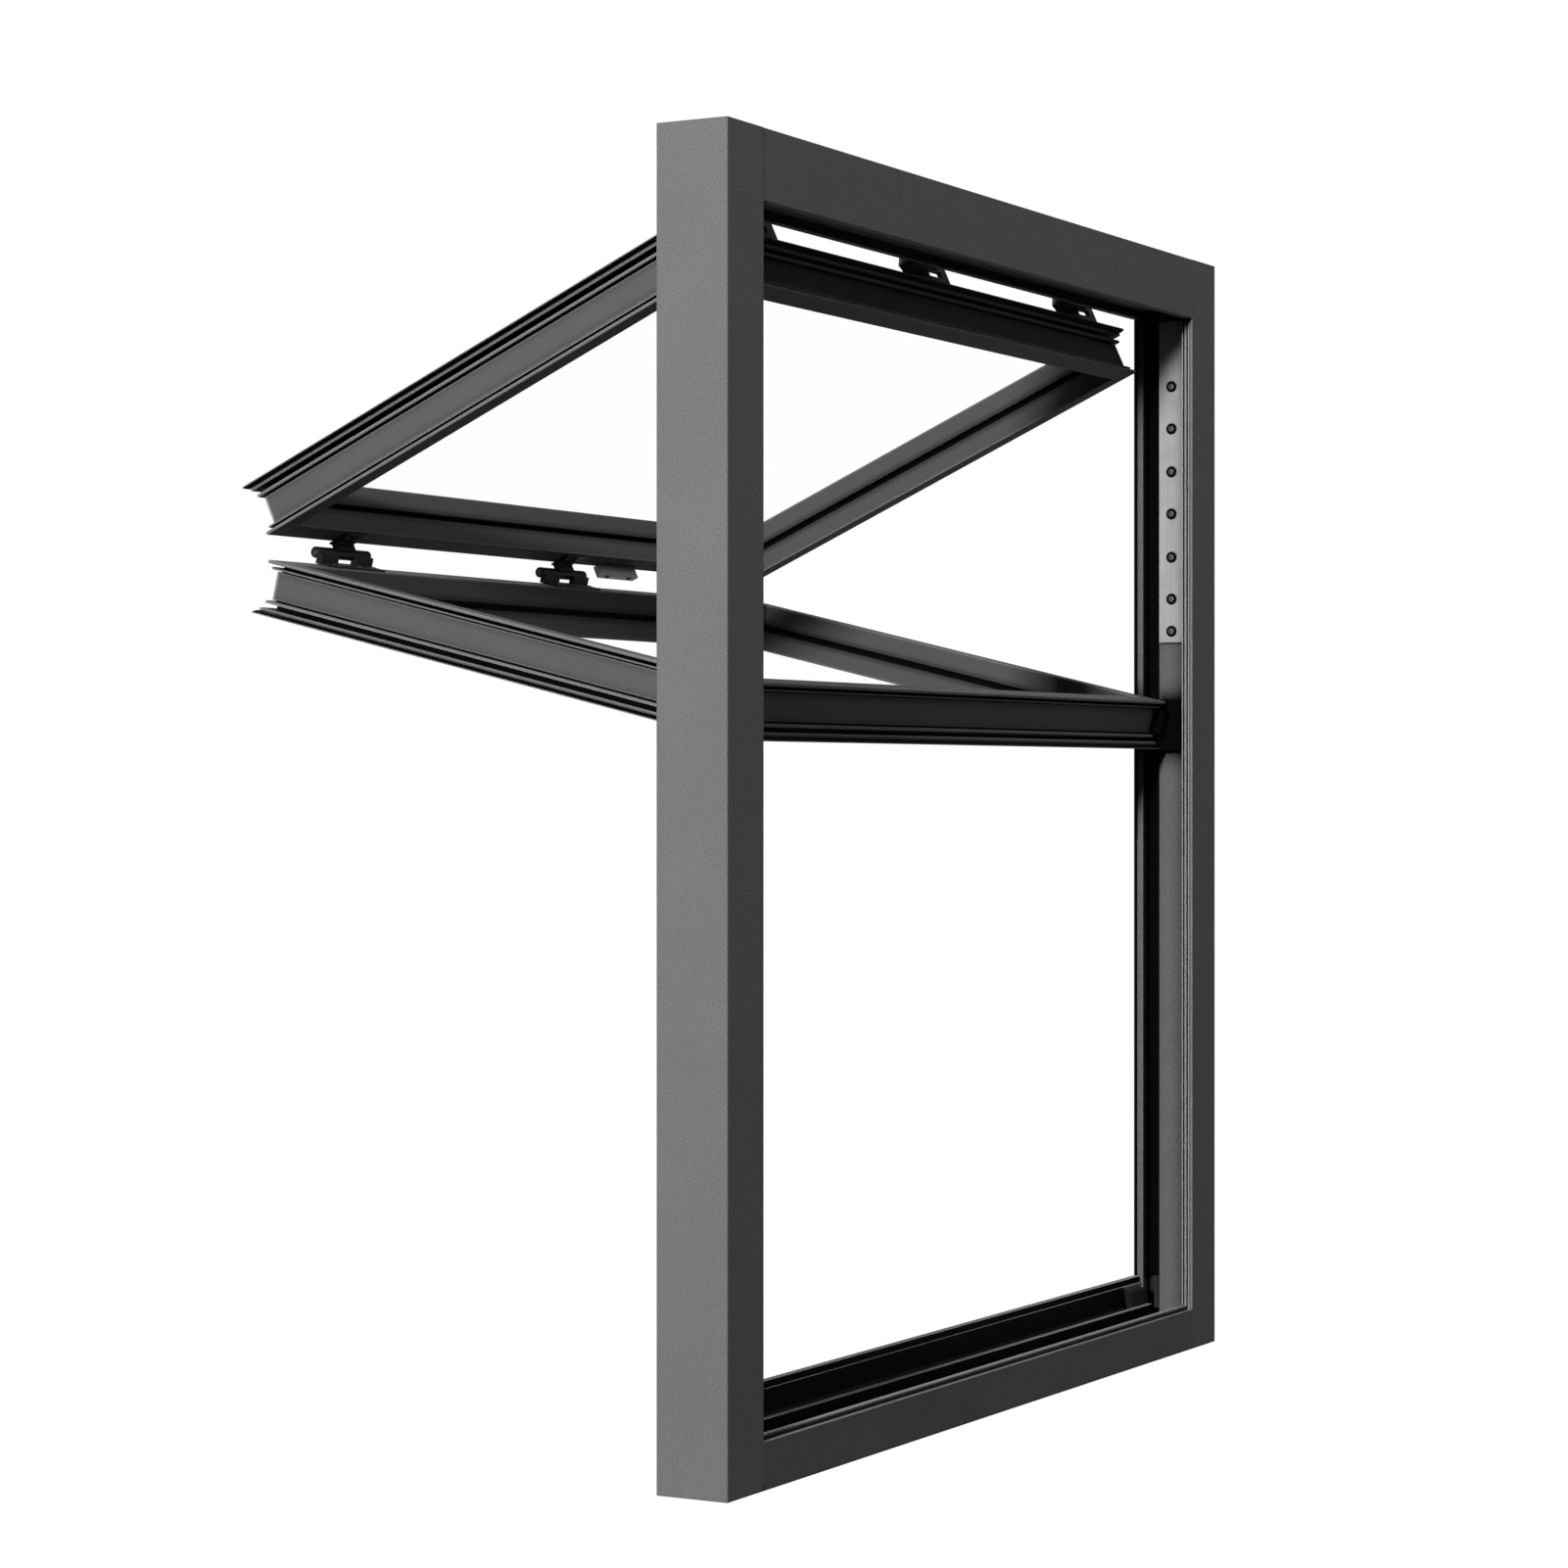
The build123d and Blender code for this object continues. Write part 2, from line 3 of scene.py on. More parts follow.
import bmesh
import bpy
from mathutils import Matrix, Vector


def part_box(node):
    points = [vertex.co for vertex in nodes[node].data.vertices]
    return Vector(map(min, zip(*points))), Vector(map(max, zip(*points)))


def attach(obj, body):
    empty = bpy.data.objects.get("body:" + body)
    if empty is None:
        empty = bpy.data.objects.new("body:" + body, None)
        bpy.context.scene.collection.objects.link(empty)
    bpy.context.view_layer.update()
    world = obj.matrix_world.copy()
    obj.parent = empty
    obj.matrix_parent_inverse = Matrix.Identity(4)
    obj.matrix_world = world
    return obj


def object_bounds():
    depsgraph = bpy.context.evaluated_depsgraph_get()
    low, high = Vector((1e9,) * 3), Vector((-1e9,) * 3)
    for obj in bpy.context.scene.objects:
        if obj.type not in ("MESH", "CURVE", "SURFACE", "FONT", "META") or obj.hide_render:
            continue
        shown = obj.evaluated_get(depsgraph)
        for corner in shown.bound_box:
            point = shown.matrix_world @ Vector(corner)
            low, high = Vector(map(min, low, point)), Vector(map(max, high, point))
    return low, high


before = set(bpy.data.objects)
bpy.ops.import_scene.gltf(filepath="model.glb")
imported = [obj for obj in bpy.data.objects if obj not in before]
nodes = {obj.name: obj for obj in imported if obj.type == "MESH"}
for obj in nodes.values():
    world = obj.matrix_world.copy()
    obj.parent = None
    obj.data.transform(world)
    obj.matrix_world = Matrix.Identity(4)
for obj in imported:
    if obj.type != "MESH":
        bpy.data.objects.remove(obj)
cad_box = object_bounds()

scene = bpy.context.scene
scene.view_settings.view_transform = "Standard"

mm = 0.001


def middle(name):
    low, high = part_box(name)
    return (Vector(low) + Vector(high)) / 2


# Outer frame
half_width = cad_box[1][0]
frame_height = cad_box[1][2]
inside_face = cad_box[0][1]
outside_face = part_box("head")[1][1]
opening_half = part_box("right_jamb")[0][0]
head_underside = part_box("head")[0][2]
sill_face = 54.0 * mm

# Sashes, and where the hinge lines and the guide pin lie on them
sash_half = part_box("upper_sash_top_rail")[1][0]
sash_thickness = 66.0 * mm
meeting_gap = 4.0 * mm
head_axis_lead = 13.6 * mm
head_axis_stand = 21.0 * mm
mid_axis_offset = 13.0 * mm
guide_line = 44.0 * mm
guide_pin_depth = 33.0 * mm

# Hinge leaves and the catch, with the rows of their screws
hinge_sides = ("left", "middle", "right")
leaf_thickness = 4.0 * mm
mid_leaf_thickness = 2.5 * mm
frame_leaf_screw_rise = 45.0 * mm
sash_leaf_screw_drop = 19.0 * mm
mid_leaf_screw_drop = 20.0 * mm
head_leaf_screws = (-48.0 * mm, -16.0 * mm, 16.0 * mm, 48.0 * mm)
mid_upper_leaf_screws = (-12.0 * mm, 12.0 * mm)
mid_lower_leaf_screws = (-40.0 * mm, -13.5 * mm, 13.5 * mm, 40.0 * mm)
catch_height = 16.0 * mm
catch_screws = (-28.0 * mm, 28.0 * mm)
catch_screw_from_end = 7.0 * mm

# Heights of the screws in the channel strips, uneven as in the photograph
strip_screw_heights = (0.9894, 1.034, 1.092, 1.152, 1.2104, 1.270, 1.3285)


# Nodes that the materials share

def grey(level):
    return (level, level, level)


def scaled(colour, factor):
    return [channel * factor for channel in colour]


white = grey(1.0)
black = grey(0.0)
# Grey of the painted shade in recesses
painted_shade_grey = grey(0.02)
# Grey of the painted shade on the frame's outer arrises
painted_rim_shade = grey(0.4)
even = (1.0, 1.0, 1.0)
noise_low = 0.3
noise_high = 0.7
mottle_swing = 0.04
grain_relief = 0.2 * mm
normal_samples = 6
mask_samples = 8
openness_samples = 12


def new_material(name):
    mat = bpy.data.materials.new(name)
    mat.use_nodes = True
    return mat, mat.node_tree, mat.node_tree.nodes["Principled BSDF"]


def noise(tree, scale, detail, rough, stretch=even):
    coord = tree.nodes.new("ShaderNodeTexCoord")
    mapping = tree.nodes.new("ShaderNodeMapping")
    mapping.inputs["Scale"].default_value = stretch
    tree.links.new(coord.outputs["Object"], mapping.inputs["Vector"])
    texture = tree.nodes.new("ShaderNodeTexNoise")
    texture.inputs["Scale"].default_value = scale
    texture.inputs["Detail"].default_value = detail
    texture.inputs["Roughness"].default_value = rough
    tree.links.new(mapping.outputs["Vector"], texture.inputs["Vector"])
    return texture.outputs["Fac"]


def ramp(tree, source, first, last, low=noise_low, high=noise_high):
    """From the first colour, where the source is low, to the last, where it is high."""
    node = tree.nodes.new("ShaderNodeValToRGB")
    start, end = node.color_ramp.elements
    start.position = low
    end.position = high
    start.color = (*first, 1)
    end.color = (*last, 1)
    tree.links.new(source, node.inputs["Fac"])
    return node.outputs["Color"]


def vary(tree, source, centre, swing, target):
    """Let a target socket swing about a centre with the source."""
    node = tree.nodes.new("ShaderNodeMapRange")
    node.inputs["To Min"].default_value = centre - swing
    node.inputs["To Max"].default_value = centre + swing
    tree.links.new(source, node.inputs["Value"])
    tree.links.new(node.outputs["Result"], target)


def blend(tree, first, second, kind="MULTIPLY"):
    mix = tree.nodes.new("ShaderNodeMix")
    mix.data_type = "RGBA"
    mix.blend_type = kind
    # On a colour mix, input 0 is the factor, 6 and 7 are the colours and output 2 is the result
    mix.inputs[0].default_value = 1.0
    tree.links.new(first, mix.inputs[6])
    tree.links.new(second, mix.inputs[7])
    return mix.outputs[2]


def compute(tree, kind, first, second):
    """A Math node on a socket and a number, or on two sockets."""
    node = tree.nodes.new("ShaderNodeMath")
    node.operation = kind
    tree.links.new(first, node.inputs[0])
    if isinstance(second, float):
        node.inputs[1].default_value = second
    else:
        tree.links.new(second, node.inputs[1])
    return node.outputs["Value"]


def rounded_normal(tree, radius, samples=normal_samples):
    """The normal as it would be with the edges rounded."""
    bevel = tree.nodes.new("ShaderNodeBevel")
    bevel.samples = samples
    bevel.inputs["Radius"].default_value = radius
    return bevel.outputs["Normal"]


def grain_bump(tree, height, strength, target):
    """Raise a grain on the surface; returns the socket for the normal under it."""
    bump = tree.nodes.new("ShaderNodeBump")
    bump.inputs["Strength"].default_value = strength
    bump.inputs["Distance"].default_value = grain_relief
    tree.links.new(height, bump.inputs["Height"])
    tree.links.new(bump.outputs["Normal"], target)
    return bump.inputs["Normal"]


def edge_mask(tree, radius, full, end):
    """0 on the flats and 1 on the arrises, by the cosine of how far the rounded normal turns."""
    shape = tree.nodes.new("ShaderNodeNewGeometry")
    dot = tree.nodes.new("ShaderNodeVectorMath")
    dot.operation = "DOT_PRODUCT"
    tree.links.new(rounded_normal(tree, radius, mask_samples), dot.inputs[0])
    tree.links.new(shape.outputs["Normal"], dot.inputs[1])
    mask = tree.nodes.new("ShaderNodeMapRange")
    mask.inputs["From Min"].default_value = end
    mask.inputs["From Max"].default_value = full
    tree.links.new(dot.outputs["Value"], mask.inputs["Value"])
    return mask.outputs["Result"]


def openness(tree, reach, own_shape):
    """1 on the open faces, falling in grooves and corners; it sets where the painted shade goes."""
    node = tree.nodes.new("ShaderNodeAmbientOcclusion")
    node.samples = openness_samples
    node.only_local = own_shape
    node.inputs["Distance"].default_value = reach
    return node.outputs["AO"]


# Places on the frame

mouth_side = opening_half + 2.5 * mm
mouth_top = head_underside + 3.5 * mm
mouth_bottom = sill_face - 3.5 * mm
mouth_front = inside_face + 0.5 * mm
rim_bottom = 10.0 * mm
rim_top = frame_height - 10.0 * mm
rim_side = half_width - 9.0 * mm
lower_part_top = 700.0 * mm


def frame_zones(tree):
    """Masks of the edges of the opening, of the outer rim and of the frame's lower part: the first gets
    the painted highlight, the outer rim's arrises get painted shade, and the lower part is kept free of
    painted shade from other pieces.
    """
    shape = tree.nodes.new("ShaderNodeNewGeometry")
    place = tree.nodes.new("ShaderNodeSeparateXYZ")
    tree.links.new(shape.outputs["Position"], place.inputs[0])
    x = compute(tree, "ABSOLUTE", place.outputs["X"], 0.0)
    y = place.outputs["Y"]
    z = place.outputs["Z"]
    mouth = compute(tree, "GREATER_THAN", z, mouth_bottom)
    for socket, kind, limit in (
        (z, "LESS_THAN", mouth_top),
        (x, "LESS_THAN", mouth_side),
        (y, "GREATER_THAN", mouth_front),
    ):
        mouth = compute(tree, "MULTIPLY", mouth, compute(tree, kind, socket, limit))
    rim = compute(tree, "LESS_THAN", z, rim_bottom)
    for socket, limit in ((z, rim_top), (x, rim_side)):
        rim = compute(tree, "MAXIMUM", rim, compute(tree, "GREATER_THAN", socket, limit))
    lower = compute(tree, "LESS_THAN", z, lower_part_top)
    return mouth, rim, lower


# Materials

def powder_coat(
    name, colour, rough, grain, arris_width, arris_full, arris_end, highlight_gain, reach, on_frame,
):
    """Powder coat: a slight mottle, a fine grain, painted shade in recesses and painted highlights on the
    softened arrises.

    arris_full and arris_end are the cosines of the normal's turn where the painted highlight is full and
    where it ends, highlight_gain is how much lighter it paints the arris, and reach is how far the
    painted shade of a recess spreads. On the frame only the edges of the opening get the painted
    highlight, and the outer arrises get painted shade.
    """
    mat, tree, bsdf = new_material(name)
    mottle = noise(tree, scale=7.0, detail=4.0, rough=0.6)
    fine = noise(tree, scale=620.0, detail=3.0, rough=0.6)
    base = ramp(tree, mottle, scaled(colour, 1 - mottle_swing), scaled(colour, 1 + mottle_swing))
    coat = blend(tree, base, ramp(tree, fine, grey(1 - grain), grey(1 + grain)))
    clear = openness(tree, reach, on_frame)
    if on_frame:
        mouth, rim, lower = frame_zones(tree)
        # Painted shade from other pieces falls on the upper part of the frame only, so that the floor
        # paints none on its foot
        near = compute(tree, "MAXIMUM", openness(tree, reach, False), lower)
        clear = compute(tree, "MINIMUM", clear, near)
    # Painted shade: the coat darkens in recesses and corners, where shade would fall
    recess_shade = ramp(tree, clear, painted_shade_grey, white, low=0.5, high=0.98)
    proud = ramp(tree, clear, black, white, low=0.6, high=0.8)
    highlight_mask = blend(tree, edge_mask(tree, arris_width, arris_full, arris_end), proud)
    if on_frame:
        # Painted shade: a dark line along the frame's outer arrises
        outline_mask = compute(tree, "MULTIPLY", highlight_mask, rim)
        coat = blend(tree, coat, ramp(tree, outline_mask, white, painted_rim_shade, low=0.25, high=1.0))
        highlight_mask = compute(tree, "MULTIPLY", highlight_mask, mouth)
    # Painted highlight: the open arrises are made lighter, as if they caught the light
    painted_highlight = ramp(tree, highlight_mask, white, grey(highlight_gain), low=0.0, high=1.0)
    toned = blend(tree, coat, blend(tree, recess_shade, highlight_mask, "LIGHTEN"))
    tree.links.new(blend(tree, toned, painted_highlight), bsdf.inputs["Base Color"])
    vary(tree, mottle, centre=rough, swing=0.05, target=bsdf.inputs["Roughness"])
    under = grain_bump(tree, fine, strength=grain, target=bsdf.inputs["Normal"])
    tree.links.new(rounded_normal(tree, radius=1.2 * mm), under)
    bsdf.inputs["Specular IOR Level"].default_value = 0.02
    return mat


def satin_black(name, low, high, rough, specular):
    mat, tree, bsdf = new_material(name)
    mottle = noise(tree, scale=60.0, detail=5.0, rough=0.6)
    tree.links.new(ramp(tree, mottle, low, high), bsdf.inputs["Base Color"])
    vary(tree, mottle, centre=rough, swing=0.08, target=bsdf.inputs["Roughness"])
    tree.links.new(rounded_normal(tree, radius=0.8 * mm), bsdf.inputs["Normal"])
    bsdf.inputs["Specular IOR Level"].default_value = specular
    return mat


def brushed_aluminium(name, low, high, metallic, reach):
    """Fine upright lines under a soft cloud, with painted shade in recesses and near other pieces."""
    mat, tree, bsdf = new_material(name)
    lines = noise(tree, scale=1.0, detail=3.0, rough=0.6, stretch=(900.0, 900.0, 12.0))
    cloud = noise(tree, scale=22.0, detail=4.0, rough=0.6)
    toned = blend(tree, ramp(tree, lines, low, high), ramp(tree, cloud, grey(0.88), grey(1.08)))
    # Painted shade: the metal darkens in recesses and near other pieces
    recess_shade = ramp(tree, openness(tree, reach, False), painted_shade_grey, white, low=0.48, high=0.9)
    tree.links.new(blend(tree, toned, recess_shade), bsdf.inputs["Base Color"])
    bsdf.inputs["Metallic"].default_value = metallic
    vary(tree, lines, centre=0.465, swing=0.085, target=bsdf.inputs["Roughness"])
    under = grain_bump(tree, lines, strength=0.12, target=bsdf.inputs["Normal"])
    tree.links.new(rounded_normal(tree, radius=0.6 * mm), under)
    return mat


def moulding(name, low, high, rough, specular):
    mat, tree, bsdf = new_material(name)
    grain = noise(tree, scale=500.0, detail=3.0, rough=0.5)
    tree.links.new(ramp(tree, grain, low, high), bsdf.inputs["Base Color"])
    vary(tree, grain, centre=rough, swing=0.06, target=bsdf.inputs["Roughness"])
    grain_bump(tree, grain, strength=0.08, target=bsdf.inputs["Normal"])
    bsdf.inputs["Specular IOR Level"].default_value = specular
    return mat


def clear_glass(name):
    """A very clear pane: nearly all the light goes straight through, with faint wiping marks."""
    mat, tree, bsdf = new_material(name)
    smear = noise(tree, scale=5.0, detail=4.0, rough=0.6)
    tint = ramp(tree, smear, (0.86, 0.92, 0.90), (0.93, 0.97, 0.96))
    tree.links.new(tint, bsdf.inputs["Base Color"])
    vary(tree, smear, centre=0.0065, swing=0.0025, target=bsdf.inputs["Alpha"])
    bsdf.inputs["Roughness"].default_value = 0.02
    bsdf.inputs["IOR"].default_value = 1.5
    return mat


frame_paint = powder_coat(
    "frame_powder_coat", colour=(0.138, 0.140, 0.139), rough=0.62, grain=0.32,
    arris_width=2.2 * mm, arris_full=0.86, arris_end=0.99, highlight_gain=4.4,
    reach=34.0 * mm, on_frame=True,
)
# A shaded copy of the frame coat: its darker colour is painted shade, and its wider, stronger arris line
# is a painted highlight on the lip
sill_paint_shaded = powder_coat(
    "sill_powder_coat_shaded", colour=(0.116, 0.118, 0.117), rough=0.62, grain=0.32,
    arris_width=5.0 * mm, arris_full=0.9, arris_end=0.995, highlight_gain=4.8,
    reach=12.0 * mm, on_frame=True,
)
sash_paint = powder_coat(
    "sash_powder_coat", colour=(0.086, 0.088, 0.087), rough=0.6, grain=0.10,
    arris_width=4.5 * mm, arris_full=0.92, arris_end=0.997, highlight_gain=2.8,
    reach=11.0 * mm, on_frame=False,
)
hinge_black = satin_black("hinge_black", grey(0.007), grey(0.014), rough=0.45, specular=0.07)
pin_metal = satin_black(
    "pin_black_steel", (0.020, 0.020, 0.021), (0.034, 0.034, 0.035), rough=0.42, specular=0.2,
)
# The strip's long reach paints shade over its top end, under the head, where a shadow falls
strip_metal = brushed_aluminium("strip_aluminium", grey(0.29), grey(0.39), metallic=0.1, reach=100.0 * mm)
catch_metal = brushed_aluminium("catch_aluminium", grey(0.21), grey(0.27), metallic=0.1, reach=10.0 * mm)
screw_dark = brushed_aluminium("screw_dark", grey(0.05), grey(0.09), metallic=0.3, reach=4.0 * mm)
block_grey = moulding("block_grey", grey(0.014), grey(0.022), rough=0.55, specular=0.05)
# Black plastic, made darker than plastic is, so that it also paints the shadow on the guides in the jamb
# channels
guide_black_and_shade = moulding("guide_black_and_shade", grey(0.0012), grey(0.0024), rough=0.65, specular=0.01)
# Black rubber, made darker than rubber is, so that it also paints the shade in the slots and channels
# where it sits
gasket_black_and_shade = moulding("gasket_black_and_shade", grey(0.0012), grey(0.0022), rough=0.75, specular=0.02)
pane = clear_glass("pane_glass")


def paint_for(name):
    if name in ("head", "left_jamb", "right_jamb"):
        return frame_paint
    if name == "sill":
        return sill_paint_shaded
    if name.endswith("_glass"):
        return pane
    # Gaskets and seals take the black that also paints the shade where they sit
    if name.endswith(("_gasket", "_seal")):
        return gasket_black_and_shade
    if name.startswith(("upper_sash", "lower_sash")):
        return sash_paint
    if name == "meeting_rail_catch":
        return catch_metal
    if name.endswith("_channel_strip"):
        return strip_metal
    if name.endswith("_pins"):
        return pin_metal
    if "_guide_" in name:
        return guide_black_and_shade
    if name.endswith("_end_block"):
        return block_grey
    return hinge_black


for name, obj in nodes.items():
    for slot in obj.material_slots:
        slot.material = paint_for(name)


# Where the sashes lie, from the hinge lines and the guide pin

def line_along_window(name):
    """The place, seen along X, of the line through the middle of a node."""
    centre = middle(name)
    return Vector((0, centre.y, centre.z))


def sash_run(start, end, stand):
    """How far apart two lines are along a sash, when they lie stand apart across it."""
    return math.sqrt((end - start).length_squared - stand**2)


def sash_directions(start, end, stand, way):
    """The way down a sash and the way out of its weather face, from two of its lines.

    way is 1 where the sash falls to the outside and -1 where it falls to the inside.
    """
    reach = end - start
    slope = math.atan2(-reach.z, abs(reach.y)) - math.atan2(stand, sash_run(start, end, stand))
    down = Vector((0, way * math.cos(slope), -math.sin(slope)))
    out = Vector((0, math.sin(slope), way * math.cos(slope)))
    return down, out


head_axis = line_along_window("head_hinge_pins")
mid_axis = line_along_window("mid_hinge_pins")
guide_pin = Vector((0, inside_face + guide_line, middle("left_guide_carriage").z))

inner_face_stand = head_axis_stand + sash_thickness
upper_stand = inner_face_stand + mid_axis_offset
lower_stand = mid_axis_offset + guide_pin_depth
sash_height = sash_run(head_axis, mid_axis, upper_stand) - head_axis_lead - meeting_gap / 2

# Each origin is the sash's top edge on its inner face
upper_down, upper_out = sash_directions(head_axis, mid_axis, upper_stand, 1)
upper_origin = head_axis + upper_down * head_axis_lead - upper_out * inner_face_stand
lower_down, lower_out = sash_directions(mid_axis, guide_pin, lower_stand, -1)
lower_origin = mid_axis + lower_down * (meeting_gap / 2) + lower_out * mid_axis_offset


def upper_spot(x, along, depth):
    return upper_origin + Vector((x, 0, 0)) + upper_down * along + upper_out * depth


def lower_spot(x, along, depth):
    return lower_origin + Vector((x, 0, 0)) + lower_down * along + lower_out * depth


# Meshes that the added pieces share

def join_rings(bm, low, high):
    count = len(low)
    for k in range(count):
        after = (k + 1) % count
        bm.faces.new((low[k], low[after], high[after], high[k]))


def new_piece(name, bm, material, crease):
    bmesh.ops.recalc_face_normals(bm, faces=bm.faces)
    for face in bm.faces:
        face.smooth = True
    mesh = bpy.data.meshes.new(name)
    bm.to_mesh(mesh)
    bm.free()
    mesh.set_sharp_from_angle(angle=math.radians(crease))
    mesh.materials.append(material)
    obj = bpy.data.objects.new(name, mesh)
    scene.collection.objects.link(obj)
    return obj


# Screws: profiles of radius and height in millimetres, with the swing of the socket's lobes

washer = [
    (7.5, 0.0, 0.0), (7.5, 0.7, 0.0), (7.1, 1.1, 0.0),
    (5.4, 1.2, 0.0), (4.7, 0.9, 0.0), (4.4, 0.2, 0.0),
]
pan_head = [
    (4.3, 0.1, 0.0), (4.3, 1.3, 0.0), (3.9, 1.9, 0.0), (3.1, 2.3, 0.0),
    (2.2, 2.5, 0.0), (1.7, 2.5, 0.14), (1.5, 1.2, 0.14), (0.5, 1.0, 0.0),
]
hinge_head = [
    (3.8, 0.0, 0.0), (3.8, 0.5, 0.0), (3.3, 1.0, 0.0), (2.4, 1.3, 0.0),
    (1.6, 1.35, 0.14), (1.4, 0.5, 0.14), (0.4, 0.4, 0.0),
]
lobe_count = 6
screw_segments = 28
screw_crease = 32.0


def lathe(bm, origin, normal, profile):
    """Turn a profile about a normal; its lobes shape the driver socket."""
    axis = normal.normalized()
    side = axis.orthogonal().normalized()
    other = axis.cross(side)
    rings = []
    for radius, height, lobe in profile:
        ring = []
        for k in range(screw_segments):
            angle = 2.0 * math.pi * k / screw_segments
            r = radius * mm * (1.0 + lobe * math.cos(lobe_count * angle))
            across = side * (r * math.cos(angle)) + other * (r * math.sin(angle))
            ring.append(bm.verts.new(origin + axis * (height * mm) + across))
        rings.append(ring)
    for low, high in zip(rings, rings[1:]):
        join_rings(bm, low, high)
    bm.faces.new(list(reversed(rings[0])))
    bm.faces.new(rings[-1])


def screw_set(name, spots, profile, material):
    bm = bmesh.new()
    for origin, normal in spots:
        lathe(bm, origin, normal, profile)
    obj = new_piece(name, bm, material, screw_crease)
    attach(obj, "root")


strip_spots = []
for strip, inward in (("left_channel_strip", 1), ("right_channel_strip", -1)):
    low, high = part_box(strip)
    face_x = high[0] if inward > 0 else low[0]
    for z in strip_screw_heights:
        strip_spots.append((Vector((face_x, middle(strip).y, z)), Vector((inward, 0, 0))))
screw_set("strip_screw_washers", strip_spots, washer, gasket_black_and_shade)
screw_set("strip_screw_heads", strip_spots, pan_head, screw_dark)

frame_leaf_spots = []
sash_leaf_spots = []
for side in hinge_sides:
    station = middle(side + "_head_hinge_frame_leaf").x
    for step in head_leaf_screws:
        x = station + step
        spot = Vector((x, outside_face + leaf_thickness, head_underside + frame_leaf_screw_rise))
        frame_leaf_spots.append((spot, Vector((0, 1, 0))))
        spot = upper_spot(x, sash_leaf_screw_drop, sash_thickness + leaf_thickness)
        sash_leaf_spots.append((spot, upper_out))
screw_set("head_hinge_frame_screws", frame_leaf_spots, hinge_head, pin_metal)
screw_set("head_hinge_sash_screws", sash_leaf_spots, hinge_head, pin_metal)

upper_leaf_spots = []
lower_leaf_spots = []
for side in hinge_sides:
    station = middle(side + "_mid_hinge_lower_leaf").x
    for step in mid_upper_leaf_screws:
        spot = upper_spot(station + step, sash_height - mid_leaf_screw_drop, -mid_leaf_thickness)
        upper_leaf_spots.append((spot, -upper_out))
    for step in mid_lower_leaf_screws:
        spot = lower_spot(station + step, mid_leaf_screw_drop, -mid_leaf_thickness)
        lower_leaf_spots.append((spot, -lower_out))
screw_set("mid_hinge_upper_screws", upper_leaf_spots, hinge_head, pin_metal)
screw_set("mid_hinge_lower_screws", lower_leaf_spots, hinge_head, pin_metal)

catch_spots = []
for step in catch_screws:
    x = middle("meeting_rail_catch").x + step
    catch_spots.append((upper_spot(x, sash_height - catch_screw_from_end, -catch_height), -upper_out))
screw_set("catch_screws", catch_spots, hinge_head, pin_metal)


# Lip seals: a black bulb round the sloped underside of each sash's weather lip; besides sealing, its
# black paints the shade under the lip

lip_top = Vector((0.0, sash_thickness - 1.2 * mm))
lip_foot = Vector((6.0 * mm, sash_thickness - 4.5 * mm))
lip_run = lip_foot - lip_top
lip_away = Vector((lip_run.y, -lip_run.x)).normalized()
lip_crease = 40.0

# The bulb's section: the share of the way down the slope, and how far it stands out in millimetres
lip_bulb = [
    (0.03, 0.02), (0.10, 0.50), (0.28, 0.85), (0.50, 0.95), (0.72, 0.85), (0.90, 0.50), (0.97, 0.02),
]


def lip_seal_ring(name, spot):
    bm = bmesh.new()
    rings = []
    for share, proud in lip_bulb:
        drop, depth = lip_top + lip_run * share + lip_away * (proud * mm)
        side = sash_half - drop
        foot = sash_height - drop
        corners = ((-side, drop), (side, drop), (side, foot), (-side, foot))
        rings.append([bm.verts.new(spot(x, along, depth)) for x, along in corners])
    for low, high in zip(rings, rings[1:] + rings[:1]):
        join_rings(bm, low, high)
    obj = new_piece(name, bm, gasket_black_and_shade, lip_crease)
    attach(obj, "root")


lip_seal_ring("upper_sash_lip_seal", upper_spot)
lip_seal_ring("lower_sash_lip_seal", lower_spot)


# Floor and world

opaque_white = (1, 1, 1, 1)
floor_size = 60.0
floor_drop = 0.5 * mm
floor_colour = (0.03, 0.03, 0.03, 1)
floor_near_level = 0.985
floor_near_radius = 1.0
floor_far_radius = 2.6
world_light = 0.01


def seen_rays(tree):
    """1 for the rays that show what is seen: straight, in a reflection or through glass."""
    path = tree.nodes.new("ShaderNodeLightPath")
    seen = compute(tree, "MAXIMUM", path.outputs["Is Camera Ray"], path.outputs["Is Glossy Ray"])
    return compute(tree, "MAXIMUM", seen, path.outputs["Is Transmission Ray"])


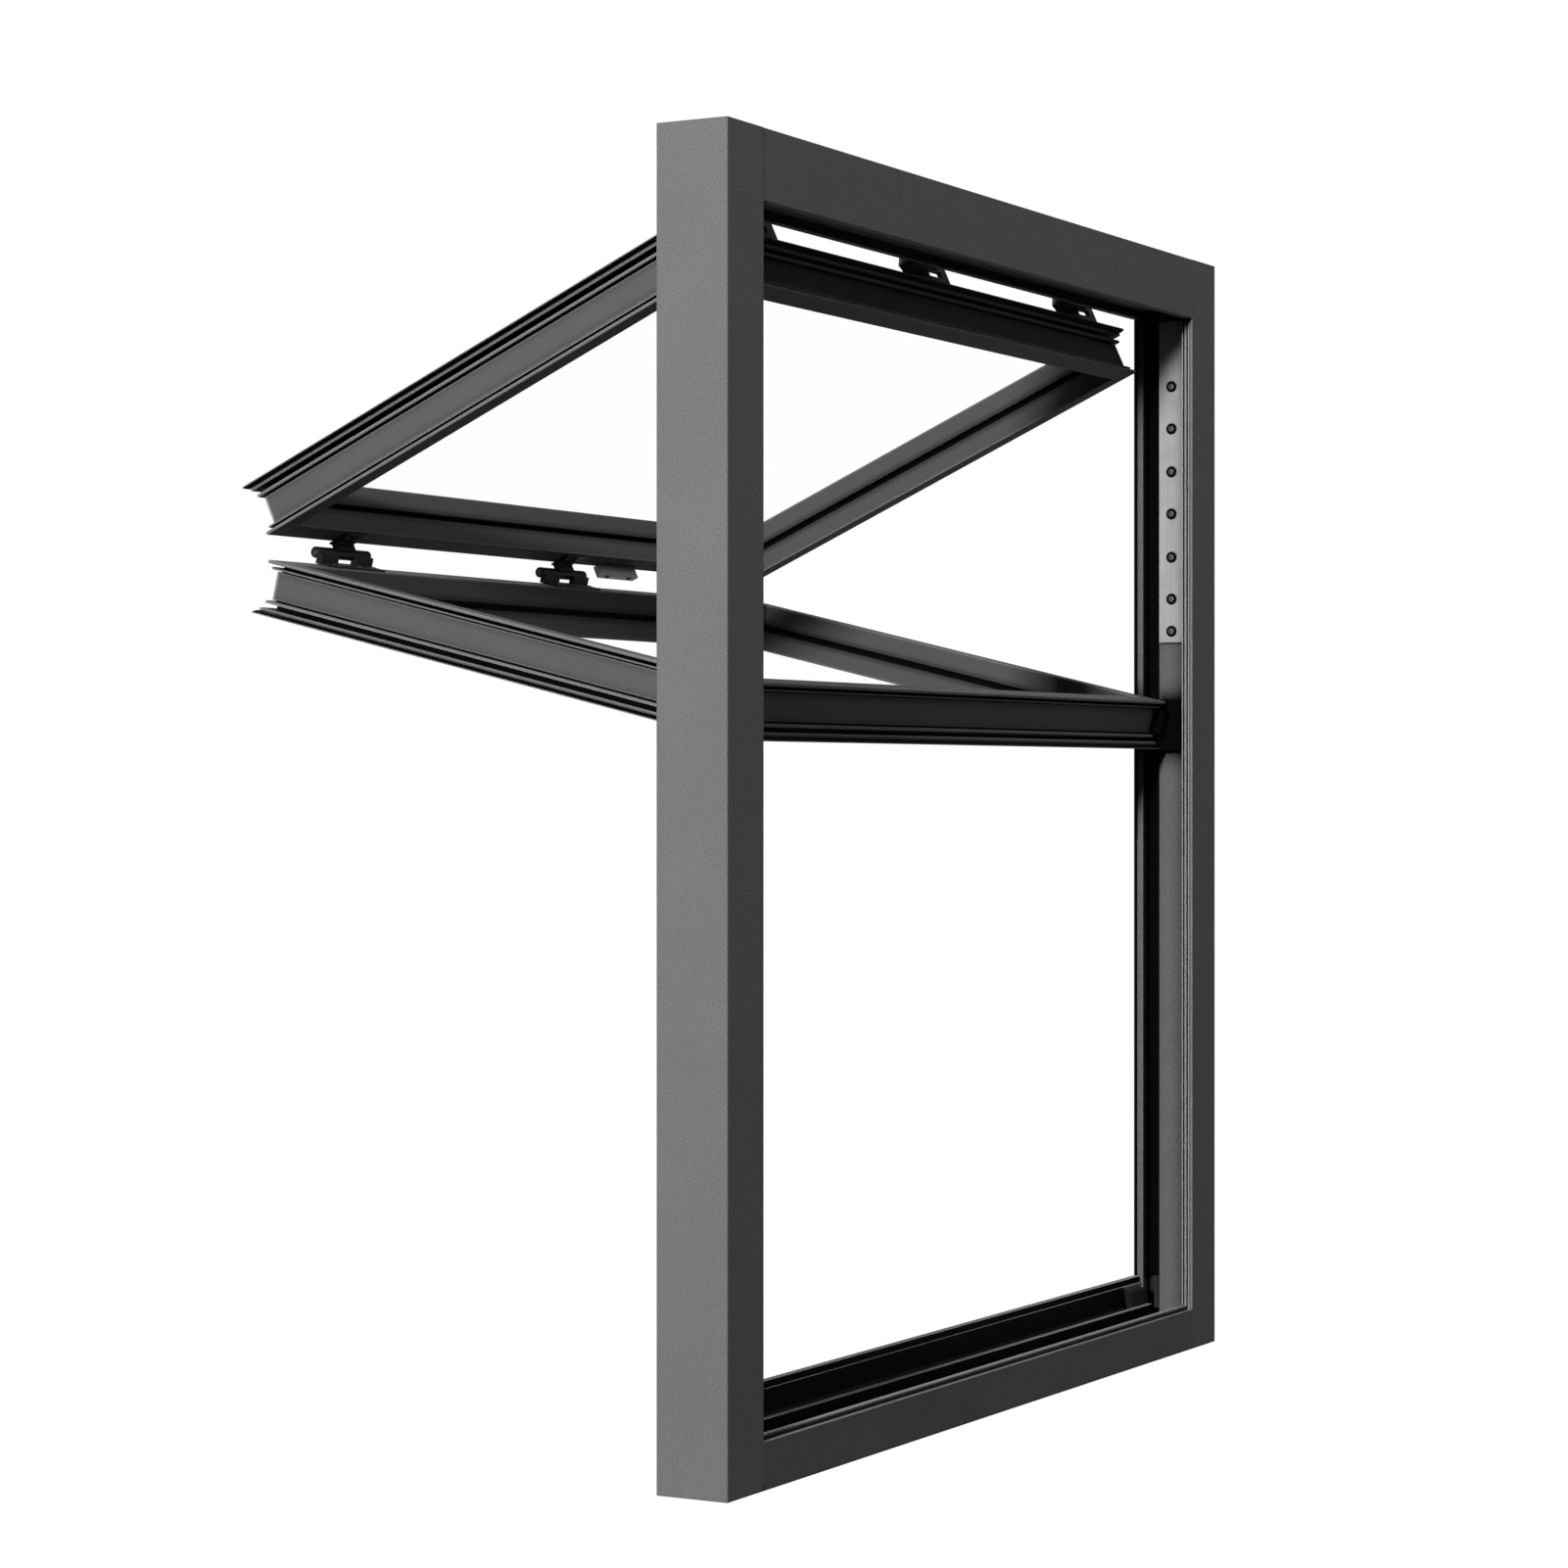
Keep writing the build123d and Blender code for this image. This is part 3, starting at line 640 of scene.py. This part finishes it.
def floor_material():
    """White to the eye, a trace greyer near the window; dark and matt to the light, so that no glare
    comes up from under.
    """
    mat = bpy.data.materials.new("studio_floor")
    mat.use_nodes = True
    tree = mat.node_tree
    tree.nodes.clear()
    diffuse = tree.nodes.new("ShaderNodeBsdfDiffuse")
    diffuse.inputs["Color"].default_value = floor_colour
    coord = tree.nodes.new("ShaderNodeTexCoord")
    distance = tree.nodes.new("ShaderNodeVectorMath")
    distance.operation = "LENGTH"
    tree.links.new(coord.outputs["Object"], distance.inputs[0])
    level = tree.nodes.new("ShaderNodeMapRange")
    level.inputs["From Min"].default_value = floor_near_radius
    level.inputs["From Max"].default_value = floor_far_radius
    level.inputs["To Min"].default_value = floor_near_level
    level.inputs["To Max"].default_value = 1.0
    tree.links.new(distance.outputs["Value"], level.inputs["Value"])
    glow = tree.nodes.new("ShaderNodeEmission")
    glow.inputs["Color"].default_value = opaque_white
    strength = compute(tree, "MULTIPLY", seen_rays(tree), level.outputs["Result"])
    tree.links.new(strength, glow.inputs["Strength"])
    both = tree.nodes.new("ShaderNodeAddShader")
    tree.links.new(diffuse.outputs[0], both.inputs[0])
    tree.links.new(glow.outputs[0], both.inputs[1])
    surface = tree.nodes.new("ShaderNodeOutputMaterial")
    tree.links.new(both.outputs[0], surface.inputs["Surface"])
    return mat


def background(tree, strength):
    node = tree.nodes.new("ShaderNodeBackground")
    node.inputs["Color"].default_value = opaque_white
    node.inputs["Strength"].default_value = strength
    return node.outputs[0]


def studio_world():
    """White where it is seen, and almost no light of its own."""
    world = bpy.data.worlds.new("studio")
    world.use_nodes = True
    tree = world.node_tree
    tree.nodes.clear()
    mix = tree.nodes.new("ShaderNodeMixShader")
    tree.links.new(seen_rays(tree), mix.inputs["Fac"])
    tree.links.new(background(tree, world_light), mix.inputs[1])
    tree.links.new(background(tree, 1.0), mix.inputs[2])
    surface = tree.nodes.new("ShaderNodeOutputWorld")
    tree.links.new(mix.outputs[0], surface.inputs["Surface"])
    return world


bpy.ops.mesh.primitive_plane_add(size=floor_size, location=(0, 0, -floor_drop))
floor = bpy.context.object
floor.name = "studio_floor"
floor.data.materials.append(floor_material())
scene.world = studio_world()


# Lamps

def area(name, location, target, size, power):
    data = bpy.data.lights.new(name, "AREA")
    data.shape = "RECTANGLE"
    data.size, data.size_y = size
    data.energy = power
    lamp = bpy.data.objects.new(name, data)
    scene.collection.objects.link(lamp)
    lamp.location = location
    lamp.rotation_euler = (Vector(target) - Vector(location)).to_track_quat("-Z", "Y").to_euler()


area("key_left", location=(-6.5, -0.6, 2.34), target=(0, 0, 0.8), size=(0.4, 0.4), power=545.0)
area("front_fill", location=(0.4, -3.0, 3.7), target=(0, 0, 0.9), size=(1.4, 1.0), power=20.0)
area("low_fill", location=(2.5, -4.0, 0.4), target=(0, 0, 0.8), size=(1.2, 0.8), power=11.0)
area("top_front", location=(-0.6, -1.0, 4.6), target=(0, 0, 0.8), size=(1.6, 1.0), power=18.0)
area("back_fill", location=(2.6, 5.2, 3.2), target=(0, 0.3, 0.8), size=(2.4, 1.8), power=330.0)


# Camera, level, with the bearing and the focal length fitted to the frame's edges in the photograph

photo_pixels = 1601.0
focal_pixels = 3848.27
sensor_width = 36.0
camera_place = (-4.2068, -2.0866, 0.7777)
camera_bearing = -60.8
view_limit = 100.0

camera_data = bpy.data.cameras.new("camera")
camera_data.sensor_width = sensor_width
camera_data.lens = sensor_width * focal_pixels / photo_pixels
camera_data.clip_end = view_limit
camera = bpy.data.objects.new("camera", camera_data)
scene.collection.objects.link(camera)
camera.location = camera_place
camera.rotation_euler = (math.pi / 2, 0, math.radians(camera_bearing))
scene.camera = camera
